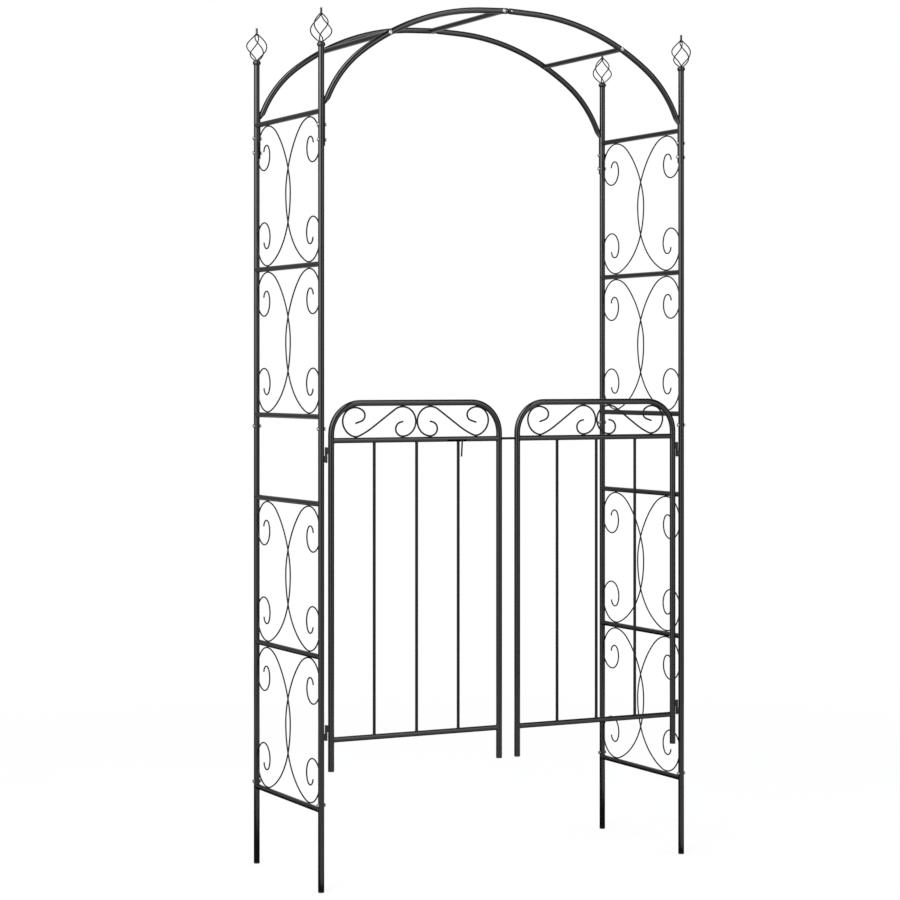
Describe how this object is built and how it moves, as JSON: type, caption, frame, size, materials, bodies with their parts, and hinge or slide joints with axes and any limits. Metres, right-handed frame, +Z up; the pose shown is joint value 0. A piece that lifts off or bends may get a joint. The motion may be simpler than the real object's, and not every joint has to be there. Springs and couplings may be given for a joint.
{
  "type": "garden arch with gates",
  "caption": "Walk-through metal garden arch with scrollwork ladder sides, twisted basket finials and hinged barred gates closed by a sliding latch rod.",
  "frame": {"origin": "on the ground plane at the centre between the legs, the bottom centre of the bounding box", "axes": "+X to the right seen from the gate side, +Y from the gate side to the back, +Z up"},
  "size_m": [1.1518, 0.4818, 2.2983],
  "materials": {
    "black_paint": "satin",
    "zinc_steel": "satin",
    "black_plastic": "matte"
  },
  "bodies": {
    "frame": {"foot_caps": "black_plastic", "leg_front_left": "black_paint", "leg_front_right": "black_paint", "leg_rear_left": "black_paint", "leg_rear_right": "black_paint", "post_lower_front_left": "black_paint", "post_lower_front_right": "black_paint", "post_lower_rear_left": "black_paint", "post_lower_rear_right": "black_paint", "post_upper_front_left": "black_paint", "post_upper_front_right": "black_paint", "post_upper_rear_left": "black_paint", "post_upper_rear_right": "black_paint", "rungs_lower_left": "black_paint", "rungs_lower_right": "black_paint", "rungs_upper_left": "black_paint", "rungs_upper_right": "black_paint", "scrolls_lower_left": "black_paint", "scrolls_lower_right": "black_paint", "scrolls_upper_left": "black_paint", "scrolls_upper_right": "black_paint", "arch_front_left": "black_paint", "arch_front_right": "black_paint", "arch_rear_left": "black_paint", "arch_rear_right": "black_paint", "arch_joiner_front": "zinc_steel", "arch_joiner_rear": "zinc_steel", "joiner_screws": "zinc_steel", "crossbar_left": "black_paint", "crossbar_middle": "black_paint", "crossbar_right": "black_paint", "crossbar_bolts": "zinc_steel", "saddle_bolts": "zinc_steel", "post_bolts": "zinc_steel", "nuts": "zinc_steel", "finial_front_left": "black_paint", "finial_front_right": "black_paint", "finial_rear_left": "black_paint", "finial_rear_right": "black_paint", "post_knuckles_left": "black_paint", "hinge_pins_left": "black_paint", "post_knuckles_right": "black_paint", "hinge_pins_right": "black_paint"},
    "left_gate": {"gate_frame_left": "black_paint", "gate_crossbar_left": "black_paint", "gate_rail_left": "black_paint", "gate_bars_left": "black_paint", "gate_scrolls_left": "black_paint", "gate_caps_left": "black_plastic", "gate_knuckles_left": "black_paint"},
    "right_gate": {"gate_frame_right": "black_paint", "gate_crossbar_right": "black_paint", "gate_rail_right": "black_paint", "gate_bars_right": "black_paint", "gate_scrolls_right": "black_paint", "gate_caps_right": "black_plastic", "gate_knuckles_right": "black_paint"},
    "latch_bolt": {"latch_rod": "black_paint"}
  },
  "joints": [
    {"name": "left_gate_hinge", "type": "hinge", "parent": "frame", "child": "left_gate", "pos_m": [-0.5315, -0.2105, 0.76], "axis": [0, 0, 1], "range_deg": [-100, 84]},
    {"name": "right_gate_hinge", "type": "hinge", "parent": "frame", "child": "right_gate", "pos_m": [0.5315, -0.2105, 0.76], "axis": [0, 0, 1], "range_deg": [-84, 100]},
    {"name": "latch_slide", "type": "slide", "parent": "left_gate", "child": "latch_bolt", "axis": [1, 0, 0], "range_m": [-0.04, 0.012]}
  ]
}
